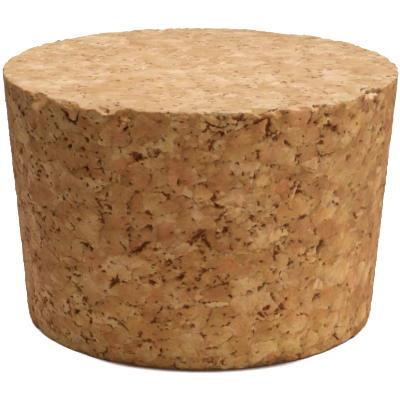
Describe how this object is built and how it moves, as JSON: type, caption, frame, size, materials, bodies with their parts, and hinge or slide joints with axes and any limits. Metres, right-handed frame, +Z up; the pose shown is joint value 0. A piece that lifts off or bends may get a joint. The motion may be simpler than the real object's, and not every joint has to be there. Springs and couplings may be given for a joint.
{
  "type": "cork stopper",
  "caption": "Squat tapered stopper of pressed cork granules, cut flat at both ends, with an open speckled wall and a chipped rim.",
  "frame": {"origin": "centre of the narrow lower end, on the surface that the stopper stands on", "axes": "+Z up the axis from the narrow end to the wide end; -Y is the front"},
  "size_m": [0.0584, 0.0584, 0.038],
  "materials": {
    "cork": "matte, dry, unsealed granulated cork"
  },
  "bodies": {
    "root": {"cork_stopper": "cork"}
  },
  "joints": []
}
